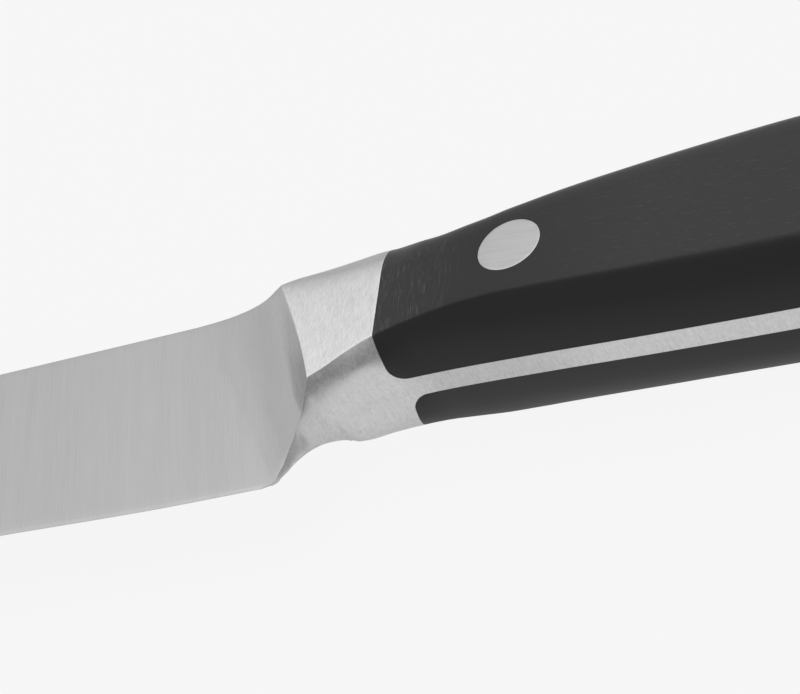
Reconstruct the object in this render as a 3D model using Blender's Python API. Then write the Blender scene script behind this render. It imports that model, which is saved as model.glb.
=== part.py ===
# Fillet knife: a forged blade, bolster and full tang in one piece of steel, two black scales
# and three two-part rivets. It lies on its side: tip at -X, edge at -Y, thickness along Z.
# Metres. The pieces are drawn in the knife's own plan, where x = 0 is the front of the scales,
# y = 0 is the line of the first rivet and z = 0 is the middle of the tang.

import math

import bmesh
import bpy

# Forging, lengths along the knife
BLADE_LENGTH = 0.200
HEEL_SETBACK = 0.0131
CREASE_FOOT_SETBACK = 0.0082
CREASE_SLANT = 0.0077
CREASE_BOW = 0.0004

# Forging, heights above and depths below the rivet line
SPINE_HEIGHT = 0.0076
SPINE_DROP_AT_TIP = 0.0032
TIP_HEIGHT = 0.0008
HEEL_DEPTH = 0.0184
CREASE_FOOT_DEPTH = 0.0089
BOLSTER_CORNER_HEIGHT = 0.0083
BOLSTER_CORNER_RUN = 0.003
BOLSTER_TOP_HEIGHT = 0.0087
BOLSTER_BELLY_DEPTH = 0.00835

# Forging, thicknesses and radii
SPINE_THICKNESS = 0.0018
TIP_SPINE_THICKNESS = 0.0010
EDGE_THICKNESS = 0.0003
EDGE_BEVEL_HEIGHT = 0.0004
EDGE_BEVEL_END = 0.4
TANG_THICKNESS = 0.00265
TANG_ROOT_RADIUS = 0.0018
BOLSTER_FRONT_THICKNESS = 0.0075
CREASE_FOOT_THICKNESS = 0.0102
BOLSTER_BACK_THICKNESS = 0.0138
SPINE_CORNER_RADIUS = 0.00025

# Rounding between the bolster's sides and its top: how far it runs across the top, and how far
# down the side. The belly is flat as wide as given below, with a facet from there to each side.
CORNER_ROUND_ACROSS = 0.0006
CORNER_ROUND_DOWN = 0.0040
MID_ROUND_SETBACK = 0.0026
MID_ROUND_ACROSS = 0.0031
MID_ROUND_DOWN = 0.0060
BACK_ROUND_ACROSS = 0.0043
BACK_ROUND_DOWN = 0.0066
BELLY_FLAT_AT_FOOT = 0.0050
BELLY_FLAT_AT_MOST = 0.0082
BELLY_FLAT_AT_SCALES = 0.0060
BELLY_FLAT_REACH = 0.0035
BELLY_CROWN = 0.0010

# Hollow sweep from the blade's flats up to the crease at the front of the bolster
SWEEP_AT_SPINE = 0.0110
SWEEP_AT_HEEL = 0.0082

# Scales
SCALE_LENGTH = 0.1135
SHOULDER_LEAN = 0.08
SHOULDER_LEAN_REACH = 0.030
HANDLE_THICKNESS = 0.0172
HANDLE_SWELL_REACH = 0.0133
HANDLE_TOP_RADIUS = 0.0052
HANDLE_TOP_RADIUS_REACH = 0.004
WAIST_HEIGHT = 0.00805
HANDLE_TOP_HEIGHT = 0.0126
HANDLE_BELLY_DEPTH = 0.0112
FACET_HEIGHT = 0.0026
FACET_REACH = 0.0303
BUTT_TOP_HEIGHT = 0.0112
BUTT_BEAK_DEPTH = 0.0140
BUTT_BULGE = 0.0060
BUTT_BULGE_REACH = 0.028
BUTT_BULGE_POWER = 2.6
BUTT_EDGE_RADIUS = 0.0020

# Rivets
RIVET_COUNT = 3
FIRST_RIVET_SETBACK = 0.0153
RIVET_PITCH = 0.038
RIVET_HEAD_DIAMETER = 0.0070
RIVET_HEAD_HEIGHT = 0.0018
RIVET_SLEEVE_DIAMETER = 0.0046
RIVET_PIN_DIAMETER = 0.0026
RIVET_HEAD_RECESS = 0.00003
RIVET_CORNER = 0.0002

# Clearances between pieces that touch, and how far a cutter runs past what it cuts
FIT = 0.0003
RIVET_FIT = 0.0002
CUT_PAST = 0.001
SAME_POINT = 1e-7

# How finely the surfaces are drawn
BLADE_COLUMNS = 30
SWEEP_COLUMNS = 10
BOLSTER_COLUMNS = 8
HANDLE_COLUMNS = 26
FILLET_COLUMNS = 4
SIDE_ROWS = 8
ROUND_ROWS = 6
BELLY_ROWS = 2
CIRCLE_STEPS = 40
FINGER_SPACING = 1.15

# The most of the blade that its cutting bevel and the rounding of its spine may take
BEVEL_SHARE = 0.3
SPINE_ROUNDING_SHARE = 0.5

# Colour, roughness and metallic value
BRUSHED_STEEL = ((0.52, 0.52, 0.52), 0.36, 1.0)
RIVET_STEEL = ((0.56, 0.56, 0.56), 0.30, 1.0)
BLACK_PLASTIC = ((0.022, 0.022, 0.022), 0.45, 0.0)

TANG_HALF = TANG_THICKNESS / 2
HANDLE_HALF = HANDLE_THICKNESS / 2
TIP_X = -HEEL_SETBACK - BLADE_LENGTH
CREASE_TOP_X = -CREASE_FOOT_SETBACK - CREASE_SLANT
CREASE_RISE = BOLSTER_CORNER_HEIGHT + CREASE_FOOT_DEPTH
SWEEP_TOP_X = CREASE_TOP_X - SWEEP_AT_SPINE
BUTT_CORNER_X = SCALE_LENGTH - BUTT_BULGE
HEAD_TOP = HANDLE_HALF - RIVET_HEAD_RECESS
HEAD_SEAT = HEAD_TOP - RIVET_HEAD_HEIGHT

# Side view of the blade: share of its length from the heel, and share of the way to the tip
SPINE_SHAPE = [(0.0, 0.0), (0.50, 0.0), (0.70, 0.06), (0.85, 0.24), (0.95, 0.60), (1.0, 1.0)]
EDGE_SHAPE = [(0.0, 0.0), (0.055, 0.004), (0.17, 0.042), (0.35, 0.108), (0.55, 0.196),
              (0.73, 0.32), (0.86, 0.49), (0.95, 0.71), (1.0, 1.0)]

# Hollow sweep: share of its reach towards the crease, share of the thickness gained
SWEEP_SHAPE = [(0.0, 0.0), (0.28, 0.085), (0.50, 0.215), (0.70, 0.415), (0.83, 0.635), (1.0, 1.0)]

# Side view of the finger hollow: share of the depth from the crease's foot, share of the length
FINGER_SHAPE = [(0.0, 0.0), (0.04, 0.06), (0.14, 0.18), (0.27, 0.32), (0.41, 0.465), (0.66, 0.68),
                (0.80, 0.775), (0.91, 0.88), (0.955, 0.90), (1.0, 1.0)]

# Crown of the finger hollow: share of the way to the heel, share of the crown at the foot
FINGER_CROWN_SHAPE = [(0.0, 1.0), (0.15, 0.6), (0.35, 0.45), (0.65, 0.60), (0.85, 0.35), (1.0, 0.0)]

# Side view of the bolster's belly: share of the way to the scales, share of the depth lost
BOLSTER_BELLY_SHAPE = [(0.0, 0.0), (0.24, 0.27), (0.59, 0.73)]

# Side view of the handle: share of the way to the corner of the butt, share of the change
HANDLE_TOP_SHAPE = [(0.060, 0.0), (0.095, 0.05), (0.137, 0.215), (0.180, 0.39), (0.223, 0.522),
                    (0.321, 0.75), (0.419, 0.895), (0.628, 1.0)]
HANDLE_BELLY_SHAPE = [(0.0, 0.0), (0.050, 0.02), (0.142, 0.165), (0.282, 0.47), (0.421, 0.705),
                      (0.684, 1.0)]
BEAK_SHAPE = [(0.888, 0.45), (1.0, 1.0)]

# Lower facet: share of the way from the crease's foot to its full height, share of the height
FACET_SHAPE = [(0.0, 0.03), (0.05, 0.14), (0.125, 0.40), (0.21, 0.59), (0.41, 0.76), (0.61, 0.935),
               (1.0, 1.0)]

# Plan view of the handle's swell behind the bolster: share of its length, share of its width
SWELL_SHAPE = [(0.0, 0.0), (0.40, 0.56), (0.70, 0.87), (1.0, 1.0)]


def blend(a, b, share):
    return a + (b - a) * share


def smooth_value(points, x):
    # Value at x on a smooth curve through points in order of x, which never overshoots them
    if x <= points[0][0]:
        return points[0][1]
    if x >= points[-1][0]:
        return points[-1][1]
    slopes = [(b[1] - a[1]) / (b[0] - a[0]) for a, b in zip(points, points[1:])]
    tangents = [slopes[0]]
    for before, after in zip(slopes, slopes[1:]):
        turning = before * after <= 0
        tangents.append(0.0 if turning else 2 * before * after / (before + after))
    tangents.append(slopes[-1])
    index = max(i for i, point in enumerate(points[:-1]) if point[0] <= x)
    (x0, y0), (x1, y1) = points[index], points[index + 1]
    width = x1 - x0
    t = (x - x0) / width
    from_start = (1 + 2 * t) * (1 - t) ** 2 * y0 + t * (1 - t) ** 2 * width * tangents[index]
    from_end = t * t * (3 - 2 * t) * y1 - t * t * (1 - t) * width * tangents[index + 1]
    return from_start + from_end


def stretched(shape, places, values):
    # Points of a shape given in shares, between two places and two values
    return [(blend(*places, along), blend(*values, share)) for along, share in shape]


# Side view of the blade

def blade_share(x):
    return min(max((-HEEL_SETBACK - x) / BLADE_LENGTH, 0.0), 1.0)


def spine_height(x):
    # The spine rises to the corner of the bolster along the hollow sweep
    ahead = max(CREASE_TOP_X - x, 0.0)
    near_bolster = smooth_value(SWEEP_SHAPE, 1 - ahead / SWEEP_AT_SPINE)
    rise = (BOLSTER_CORNER_HEIGHT - SPINE_HEIGHT) * near_bolster
    return SPINE_HEIGHT + rise - SPINE_DROP_AT_TIP * smooth_value(SPINE_SHAPE, blade_share(x))


def edge_height(x):
    tip = SPINE_HEIGHT - SPINE_DROP_AT_TIP - TIP_HEIGHT
    return blend(-HEEL_DEPTH, tip, smooth_value(EDGE_SHAPE, blade_share(x)))


def finger_point(share):
    # Point of the finger hollow, from the foot of the crease (0) down to the heel (1)
    along = smooth_value(FINGER_SHAPE, share)
    x = -blend(CREASE_FOOT_SETBACK, HEEL_SETBACK, along)
    return x, -blend(CREASE_FOOT_DEPTH, HEEL_DEPTH, share)


# Side view of the bolster and the handle

def top_height(x):
    # Slight waist behind the bolster, a swell along the back, then down to the butt
    bolster = [(CREASE_TOP_X, BOLSTER_CORNER_HEIGHT),
               (CREASE_TOP_X + BOLSTER_CORNER_RUN, BOLSTER_TOP_HEIGHT),
               (0.0, BOLSTER_TOP_HEIGHT)]
    handle = stretched(HANDLE_TOP_SHAPE, (0.0, BUTT_CORNER_X), (WAIST_HEIGHT, HANDLE_TOP_HEIGHT))
    return smooth_value(bolster + handle + [(BUTT_CORNER_X, BUTT_TOP_HEIGHT)], x)


def belly_height(x):
    # Shallowest at the front of the scales, then steadily deeper to the beak at the butt
    bolster = stretched(BOLSTER_BELLY_SHAPE, (-CREASE_FOOT_SETBACK, 0.0),
                        (CREASE_FOOT_DEPTH, BOLSTER_BELLY_DEPTH))
    handle = stretched(HANDLE_BELLY_SHAPE, (0.0, BUTT_CORNER_X),
                       (BOLSTER_BELLY_DEPTH, HANDLE_BELLY_DEPTH))
    beak = stretched(BEAK_SHAPE, (0.0, BUTT_CORNER_X), (HANDLE_BELLY_DEPTH, BUTT_BEAK_DEPTH))
    return -smooth_value(bolster + handle + beak, x)


def facet_rise(x):
    # Height of the lower facet, which runs out to nearly nothing at the front of the bolster
    return smooth_value(stretched(FACET_SHAPE, (-CREASE_FOOT_SETBACK, FACET_REACH),
                                  (0.0, FACET_HEIGHT)), x)


# Plan view, half thicknesses

def side_half(x):
    # At the flat sides of the bolster and the handle
    bolster = [(CREASE_TOP_X, BOLSTER_FRONT_THICKNESS / 2),
               (-CREASE_FOOT_SETBACK, CREASE_FOOT_THICKNESS / 2)]
    handle = stretched(SWELL_SHAPE, (0.0, HANDLE_SWELL_REACH),
                       (BOLSTER_BACK_THICKNESS / 2, HANDLE_HALF))
    return smooth_value(bolster + handle, x)


def rounding_across(x):
    # Rounding between the sides and the top, measured across the top
    return smooth_value([
        (SWEEP_TOP_X, SPINE_CORNER_RADIUS),
        (CREASE_TOP_X, CORNER_ROUND_ACROSS),
        (-MID_ROUND_SETBACK, MID_ROUND_ACROSS),
        (0.0, BACK_ROUND_ACROSS),
        (HANDLE_TOP_RADIUS_REACH, HANDLE_TOP_RADIUS)], x)


def rounding_down(x):
    # The same rounding, measured down the side
    return smooth_value([
        (SWEEP_TOP_X, SPINE_CORNER_RADIUS),
        (CREASE_TOP_X - BOLSTER_CORNER_RUN, SPINE_CORNER_RADIUS),
        (CREASE_TOP_X, CORNER_ROUND_DOWN),
        (-MID_ROUND_SETBACK, MID_ROUND_DOWN),
        (0.0, BACK_ROUND_DOWN),
        (HANDLE_TOP_RADIUS_REACH, HANDLE_TOP_RADIUS)], x)


def flat_half(x):
    # Half the flat of the belly, which narrows to the tang behind the front of the scales
    return smooth_value([
        (-CREASE_FOOT_SETBACK, BELLY_FLAT_AT_FOOT / 2),
        (-MID_ROUND_SETBACK, BELLY_FLAT_AT_MOST / 2),
        (0.0, BELLY_FLAT_AT_SCALES / 2),
        (BELLY_FLAT_REACH, TANG_HALF)], x)


def crease_x(y):
    # The crease where the hollow sweep meets the flat side of the bolster
    share = (y + CREASE_FOOT_DEPTH) / CREASE_RISE
    bow = CREASE_BOW * 4 * share * (1 - share)
    return -CREASE_FOOT_SETBACK - CREASE_SLANT * share + max(bow, 0.0)


def blade_half(x, y):
    # Ground thin towards the edge and the tip, and swept up to the bolster at the other end
    spine = spine_height(x)
    edge = edge_height(x)
    up = min(max((y - edge) / (spine - edge), 0.0), 1.0)
    spine_thickness = blend(SPINE_THICKNESS, TIP_SPINE_THICKNESS, blade_share(x))
    flat = blend(EDGE_THICKNESS, spine_thickness, up) / 2
    reach = blend(SWEEP_AT_HEEL, SWEEP_AT_SPINE, (y + HEEL_DEPTH) / (SPINE_HEIGHT + HEEL_DEPTH))
    ahead = max(crease_x(y) - x, 0.0) * CREASE_RISE / math.hypot(CREASE_RISE, CREASE_SLANT)
    near_crease = smooth_value(SWEEP_SHAPE, 1 - ahead / reach)
    return blend(flat, side_half(crease_x(max(y, -CREASE_FOOT_DEPTH))), near_crease)


def root_inset(x, radius):
    # How far a fillet of this radius stands out sideways at x, counted from its steep end
    reach = min(max(radius - x, 0.0), radius)
    return radius - math.sqrt(radius * radius - reach * reach)


# Outer lines of the bolster and the handle at one place along them

def outer_lines(x, inset=0.0):
    # inset draws the lines in where the edge of the butt is rounded
    return {
        "x": x,
        "top": top_height(x) - inset,
        "belly": belly_height(x) + inset,
        "crease": belly_height(x) + facet_rise(x) + inset,
        "half": side_half(x) - inset,
        "flat": flat_half(x),
        "across": min(rounding_across(x), side_half(x) - inset - TANG_HALF),
        "down": rounding_down(x)}


def top_at(lines, z):
    # Height of the outer surface above a point at z: flat in the middle, then the rounding
    out = max(z - (lines["half"] - lines["across"]), 0.0) / lines["across"]
    return lines["top"] - lines["down"] * (1 - math.sqrt(1 - out ** 2))


def bottom_at(lines, z):
    # Height of the outer surface below a point at z: the flat, then the facet
    share = max(z - lines["flat"], 0.0) / (lines["half"] - lines["flat"])
    return blend(lines["belly"], lines["crease"], share)


# Sections: half a loop runs from the belly up to the top, as points (x, y, z)

def side_points(start, end, rounding, plan, half, last_turn=math.pi / 2):
    # The flat side and the rounding above it; plan gives x and half gives z
    across, down = rounding
    points = []
    for row in range(SIDE_ROWS + 1):
        y = blend(start, end - down, row / SIDE_ROWS)
        points.append((plan(y), y, half(plan(y), y)))
    for row in range(1, ROUND_ROWS + 1):
        turn = last_turn * row / ROUND_ROWS
        y = end - down * (1 - math.sin(turn))
        inward = across * (1 - math.cos(turn))
        points.append((plan(y), y, half(plan(y), y) - inward))
    return points


def slanted_plan(bottom, top, bow):
    # A line in the plan from bottom to top, bowed towards the butt
    def plan(y):
        share = (y - bottom[1]) / (top[1] - bottom[1])
        return blend(bottom[0], top[0], share) + bow * 4 * share * (1 - share)
    return plan


def closed_loop(right, left):
    # right runs from the belly to the top, and left comes back down between the same two ends
    return right + left[::-1]


def mirrored_loop(right):
    return closed_loop(right, [(x, y, -z) for x, y, z in right[1:-1]])


def blade_loop(bottom, top, bow=0.0, bevel=0.0, crown=0.0):
    # Section of the blade or of the hollow sweep; bevel is the ground cutting edge, crown the
    # depth of the finger hollow's middle below its sides
    x, y = bottom
    foot = blade_half(x, y + bevel)
    belly = [(x, y - crown, 0.0)]
    for row in range(BELLY_ROWS):
        share = row / BELLY_ROWS
        belly.append((x, y + bevel * share - crown * (1 - share), foot * blend(EDGE_BEVEL_END, 1.0, share)))
    rounding = min(rounding_across(top[0]), SPINE_ROUNDING_SHARE * blade_half(*top)), rounding_down(top[0])
    plan = slanted_plan((x, y + bevel), top, bow)
    side = side_points(y + bevel, top[1], rounding, plan, blade_half)
    return mirrored_loop(belly + side + [(*top, side[-1][2] / 2), (*top, 0.0)])


def over_side(low, high, inner, plan, half):
    # From the belly at z = inner over the facet, the side and the rounding to the top at z = inner
    points = []
    for row in range(BELLY_ROWS):
        z = blend(inner, low["half"], row / BELLY_ROWS)
        y = bottom_at(low, z)
        points.append((plan(y), y, z))
    in_reach = (inner + FIT - high["half"] + high["across"]) / high["across"]
    last_turn = math.acos(min(max(in_reach, 0.0), 1.0))
    rounding = high["across"], high["down"]
    points += side_points(low["crease"], high["top"], rounding, plan, half, last_turn)
    y = top_at(high, inner)
    return points + [(plan(y), y, inner)]


def handle_plan(x):
    # Sections lean forward at the top near the bolster, and bulge back towards the butt
    low, high = belly_height(x), top_height(x)
    crease = low + facet_rise(x)
    lean = SHOULDER_LEAN * max(1 - x / SHOULDER_LEAN_REACH, 0.0) ** 2
    bulge = BUTT_BULGE * max((x - BUTT_CORNER_X + BUTT_BULGE_REACH) / BUTT_BULGE_REACH, 0.0) ** 2

    def plan(y):
        from_middle = min(abs(2 * (y - low) / (high - low) - 1), 1.0)
        return x - lean * max(y - crease, 0.0) + bulge * (1 - from_middle ** BUTT_BULGE_POWER)
    return plan


def bolster_loop(share):
    # Section of the bolster, from the crease (0) to the front of the scales (1)
    shoulder_top = handle_plan(0.0)(top_height(0.0))
    low = outer_lines(blend(-CREASE_FOOT_SETBACK, 0.0, share))
    high = outer_lines(blend(CREASE_TOP_X, shoulder_top, share))
    bow = CREASE_BOW * (1 - share)
    leaning = slanted_plan((low["x"], low["crease"]), (high["x"], high["top"]), bow)
    low["belly"] -= BELLY_CROWN * (1 - share) ** 2
    inner = min(low["flat"], high["half"] - FIT)
    outer = over_side(low, high, inner, lambda y: leaning(max(y, low["crease"])),
                      lambda x, y: side_half(x))
    return mirrored_loop([(low["x"], low["belly"], 0.0)] + outer + [(high["x"], high["top"], 0.0)])


def handle_lines(x, inset):
    # The outer lines that a section of the handle meets at its foot and at its top
    plan = handle_plan(x)
    return plan, outer_lines(x, inset), outer_lines(plan(top_height(x)), inset)


def tang_loop(x, inset=0.0):
    # Section of the tang, flush with the scales above and below, thicker along its root fillet
    plan, low, high = handle_lines(x, inset)
    half = TANG_HALF + root_inset(x, TANG_ROOT_RADIUS)
    rows = BELLY_ROWS + SIDE_ROWS + ROUND_ROWS + 1
    points = [(plan(low["belly"]), low["belly"], 0.0)]
    for row in range(rows + 1):
        y = blend(bottom_at(low, half), top_at(high, half), row / rows)
        points.append((plan(y), y, half))
    return mirrored_loop(points + [(plan(high["top"]), high["top"], 0.0)])


def scale_loop(x, inset=0.0):
    # Section of a scale, from the tang out to the side; its front follows the root fillet
    plan, low, high = handle_lines(x, inset)
    inner = TANG_HALF + FIT + root_inset(x - FIT, TANG_ROOT_RADIUS - FIT)
    outer = over_side(low, high, inner, plan, lambda x, y: side_half(x) - inset)
    last = len(outer) - 1
    inside = []
    for row in range(1, last):
        y = blend(outer[0][1], outer[-1][1], row / last)
        inside.append((plan(y), y, inner))
    return closed_loop(outer, inside)


def handle_loops(section, start, radius):
    # Sections from the shoulder to the butt: the root fillet, the length, the rounded end
    loops = []
    for step in range(FILLET_COLUMNS + 1):
        turn = math.pi / 2 * step / FILLET_COLUMNS
        loops.append(section(start + radius * (1 - math.cos(turn))))
    flat_end = BUTT_CORNER_X - BUTT_EDGE_RADIUS
    for column in range(1, HANDLE_COLUMNS + 1):
        loops.append(section(blend(start + radius, flat_end, column / HANDLE_COLUMNS)))
    for step in range(1, FILLET_COLUMNS + 1):
        turn = math.pi / 2 * step / FILLET_COLUMNS
        inset = BUTT_EDGE_RADIUS * (1 - math.cos(turn))
        loops.append(section(flat_end + BUTT_EDGE_RADIUS * math.sin(turn), inset))
    return loops


# Solids

def make_object(name, shape):
    bmesh.ops.recalc_face_normals(shape, faces=shape.faces)
    mesh = bpy.data.meshes.new(name)
    shape.to_mesh(mesh)
    shape.free()
    part = bpy.data.objects.new(name, mesh)
    bpy.context.scene.collection.objects.link(part)
    return part


def close_end(shape, ring):
    # Strips across the end from one side of the loop to the other, a flat foot or top as one face
    count = len(ring)
    top = count // 2
    first = next(i for i in range(1, top) if ring[i].co.y > ring[0].co.y + SAME_POINT)
    last = next(i for i in range(top - 1, 0, -1) if ring[i].co.y < ring[top].co.y - SAME_POINT)
    shape.faces.new(ring[count - first:] + ring[:first + 1])
    for i in range(first, last):
        shape.faces.new((ring[i], ring[i + 1], ring[count - i - 1], ring[count - i]))
    shape.faces.new(ring[last:count - last + 1])


def skinned(name, loops, facing=1):
    # Skins the loops in order and closes both ends; facing -1 mirrors the piece in Z
    shape = bmesh.new()
    rings = [[shape.verts.new((x, y, facing * z)) for x, y, z in loop] for loop in loops]
    count = len(rings[0])
    for ring, following in zip(rings, rings[1:]):
        for i in range(count):
            j = (i + 1) % count
            shape.faces.new((ring[i], ring[j], following[j], following[i]))
    for ring in (rings[0], rings[-1]):
        close_end(shape, ring)
    bmesh.ops.remove_doubles(shape, verts=shape.verts, dist=SAME_POINT)
    return make_object(name, shape)


def turned(name, profile, facing=1):
    # Turns a profile of (radius, z) pairs about Z and closes both ends
    shape = bmesh.new()
    rings = []
    for radius, z in profile:
        turns = [2 * math.pi * step / CIRCLE_STEPS for step in range(CIRCLE_STEPS)]
        rings.append([shape.verts.new((radius * math.cos(turn), radius * math.sin(turn), facing * z))
                      for turn in turns])
    for ring, following in zip(rings, rings[1:]):
        for i in range(CIRCLE_STEPS):
            j = (i + 1) % CIRCLE_STEPS
            shape.faces.new((ring[i], ring[j], following[j], following[i]))
    shape.faces.new(rings[0])
    shape.faces.new(rings[-1])
    return make_object(name, shape)


# Pieces

def forging():
    loops = []
    for column in range(BLADE_COLUMNS):
        share = 1 - column / BLADE_COLUMNS
        bottom_x = -HEEL_SETBACK - BLADE_LENGTH * share
        top_x = blend(SWEEP_TOP_X, TIP_X, share)
        bottom = (bottom_x, edge_height(bottom_x))
        bevel = min(EDGE_BEVEL_HEIGHT, BEVEL_SHARE * (spine_height(bottom_x) - bottom[1]))
        loops.append(blade_loop(bottom, (top_x, spine_height(top_x)), bevel=bevel))
    for column in range(SWEEP_COLUMNS + 1):
        share = 1 - column / SWEEP_COLUMNS
        top_x = blend(CREASE_TOP_X, SWEEP_TOP_X, share)
        bow = CREASE_BOW * (1 - share)
        bottom = finger_point(share ** FINGER_SPACING)
        crown = BELLY_CROWN * smooth_value(FINGER_CROWN_SHAPE, share)
        loops.append(blade_loop(bottom, (top_x, spine_height(top_x)), bow, crown=crown))
    for column in range(1, BOLSTER_COLUMNS + 1):
        loops.append(bolster_loop(column / BOLSTER_COLUMNS))
    loops += handle_loops(tang_loop, 0.0, TANG_ROOT_RADIUS)
    return skinned("blade_bolster_and_tang", loops)


def scale(name, facing):
    return skinned(name, handle_loops(scale_loop, FIT, TANG_ROOT_RADIUS - FIT), facing)


def rivet_head_profile():
    radius = RIVET_HEAD_DIAMETER / 2
    return [(radius - RIVET_CORNER, HEAD_TOP), (radius, HEAD_TOP - RIVET_CORNER), (radius, HEAD_SEAT)]


def rivet_pin_half(number):
    # Upper half: a head with a solid pin, which ends just above the floor of the sleeve
    radius = RIVET_PIN_DIAMETER / 2
    tip = -HEAD_SEAT + FIT
    profile = rivet_head_profile() + [(radius, HEAD_SEAT), (radius, tip + RIVET_CORNER),
                                      (radius - RIVET_CORNER, tip)]
    return turned("rivet_%d_pin_half" % number, profile)


def rivet_sleeve_half(number):
    # Lower half, drawn head up and turned over: a head with a sleeve that takes the pin
    radius = RIVET_SLEEVE_DIAMETER / 2
    bore = RIVET_PIN_DIAMETER / 2 + RIVET_FIT
    rim = -HEAD_SEAT + FIT
    profile = rivet_head_profile() + [(radius, HEAD_SEAT), (radius, rim), (bore, rim), (bore, HEAD_SEAT)]
    return turned("rivet_%d_sleeve_half" % number, profile, -1)


def rivet_hole_cutter(number):
    # Clears the sleeve right through the handle, and a counterbore for the head on each side
    hole = RIVET_SLEEVE_DIAMETER / 2 + RIVET_FIT
    bore = RIVET_HEAD_DIAMETER / 2 + RIVET_FIT
    floor = HEAD_SEAT - FIT
    past = HANDLE_HALF + CUT_PAST
    profile = [(bore, past), (bore, floor), (hole, floor), (hole, -floor), (bore, -floor), (bore, -past)]
    cutter = turned("rivet_hole_%d_cutter" % number, profile)
    cutter.display_type = "WIRE"
    cutter.hide_render = True
    return cutter


def cut(part, cutter):
    hole = part.modifiers.new("rivet hole", "BOOLEAN")
    hole.operation = "DIFFERENCE"
    hole.solver = "EXACT"
    hole.object = cutter


def finish_with(part, name, look):
    # One material for each piece, and soft shading except across real edges
    colour, roughness, metallic = look
    material = bpy.data.materials.new(name)
    material.use_nodes = True
    shader = material.node_tree.nodes["Principled BSDF"]
    shader.inputs["Base Color"].default_value = (*colour, 1.0)
    shader.inputs["Roughness"].default_value = roughness
    shader.inputs["Metallic"].default_value = metallic
    part.data.materials.append(material)
    part.data.shade_smooth()
    part.data.set_sharp_from_angle(angle=math.radians(25))


def stand_at_origin(parts):
    # Parents the pieces to an empty that puts the bottom centre of their box at the origin
    corners = [vertex.co + part.location for part in parts for vertex in part.data.vertices]
    lows = [min(corner[axis] for corner in corners) for axis in range(3)]
    highs = [max(corner[axis] for corner in corners) for axis in range(3)]
    knife = bpy.data.objects.new("knife", None)
    bpy.context.scene.collection.objects.link(knife)
    knife.location = (-(lows[0] + highs[0]) / 2, -(lows[1] + highs[1]) / 2, -lows[2])
    return knife


def build_knife():
    for old in list(bpy.data.objects):
        bpy.data.objects.remove(old, do_unlink=True)

    steel = forging()
    upper = scale("upper_scale", 1)
    lower = scale("lower_scale", -1)
    finish_with(steel, "brushed steel", BRUSHED_STEEL)
    finish_with(upper, "upper scale plastic", BLACK_PLASTIC)
    finish_with(lower, "lower scale plastic", BLACK_PLASTIC)
    parts = [steel, upper, lower]
    cutters = []

    for number in range(1, RIVET_COUNT + 1):
        x = FIRST_RIVET_SETBACK + RIVET_PITCH * (number - 1)
        place = (x, (top_height(x) + belly_height(x)) / 2, 0.0)
        cutter = rivet_hole_cutter(number)
        cutter.location = place
        for drilled in (steel, upper, lower):
            cut(drilled, cutter)
        cutters.append(cutter)
        for half in (rivet_pin_half(number), rivet_sleeve_half(number)):
            half.location = place
            finish_with(half, half.name + " steel", RIVET_STEEL)
            parts.append(half)

    knife = stand_at_origin(parts)
    for piece in parts + cutters:
        piece.parent = knife


build_knife()
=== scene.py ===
import math

import bmesh
import bpy
from mathutils import Matrix, Vector


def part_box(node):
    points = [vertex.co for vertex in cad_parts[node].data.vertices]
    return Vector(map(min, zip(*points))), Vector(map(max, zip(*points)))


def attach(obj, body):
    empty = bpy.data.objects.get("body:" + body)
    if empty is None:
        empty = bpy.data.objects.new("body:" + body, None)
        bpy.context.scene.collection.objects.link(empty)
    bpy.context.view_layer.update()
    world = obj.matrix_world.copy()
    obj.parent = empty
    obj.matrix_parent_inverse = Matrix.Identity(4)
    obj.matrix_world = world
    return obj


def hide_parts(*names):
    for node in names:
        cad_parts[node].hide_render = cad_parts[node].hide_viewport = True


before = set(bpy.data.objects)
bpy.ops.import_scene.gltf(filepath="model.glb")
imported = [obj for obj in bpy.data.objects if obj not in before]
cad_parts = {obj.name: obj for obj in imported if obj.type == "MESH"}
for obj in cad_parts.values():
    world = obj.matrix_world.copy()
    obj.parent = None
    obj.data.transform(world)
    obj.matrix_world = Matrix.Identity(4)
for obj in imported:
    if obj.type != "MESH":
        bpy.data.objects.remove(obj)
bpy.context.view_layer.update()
print("frame loaded, %d nodes" % len(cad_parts))

# Fillet knife on its side, in close-up: forging, two scales, three rivets.
# Shapes are drawn in millimetres in the knife's own plan: x = 0 is the front of the scales,
# y = 0 the line of the first rivet, z = 0 the middle of the tang. toWorld puts them in the frame.

mm = 0.001


def mix(a, b, share):
    return a + (b - a) * share


def clamp(value, low=0.0, high=1.0):
    return min(max(value, low), high)


def smoothStep(low, high, value):
    share = clamp((value - low) / (high - low))
    return share * share * (3 - 2 * share)


def curveThrough(points, x):
    # smooth value at x that never swings past the points beside it
    if x <= points[0][0]:
        return points[0][1]
    if x >= points[-1][0]:
        return points[-1][1]
    slopes = [(b[1] - a[1]) / (b[0] - a[0]) for a, b in zip(points, points[1:])]
    tangents = [slopes[0]]
    for before, after in zip(slopes, slopes[1:]):
        tangents.append(0.0 if before * after <= 0 else 2 * before * after / (before + after))
    tangents.append(slopes[-1])
    index = max(i for i, point in enumerate(points[:-1]) if point[0] <= x)
    (x0, y0), (x1, y1) = points[index], points[index + 1]
    width = x1 - x0
    t = (x - x0) / width
    start = (1 + 2 * t) * (1 - t) ** 2 * y0 + t * (1 - t) ** 2 * width * tangents[index]
    return start + t * t * (3 - 2 * t) * y1 - t * t * (1 - t) * width * tangents[index + 1]


def stretched(shape, places, values):
    return [(mix(*places, along), mix(*values, share)) for along, share in shape]


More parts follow.
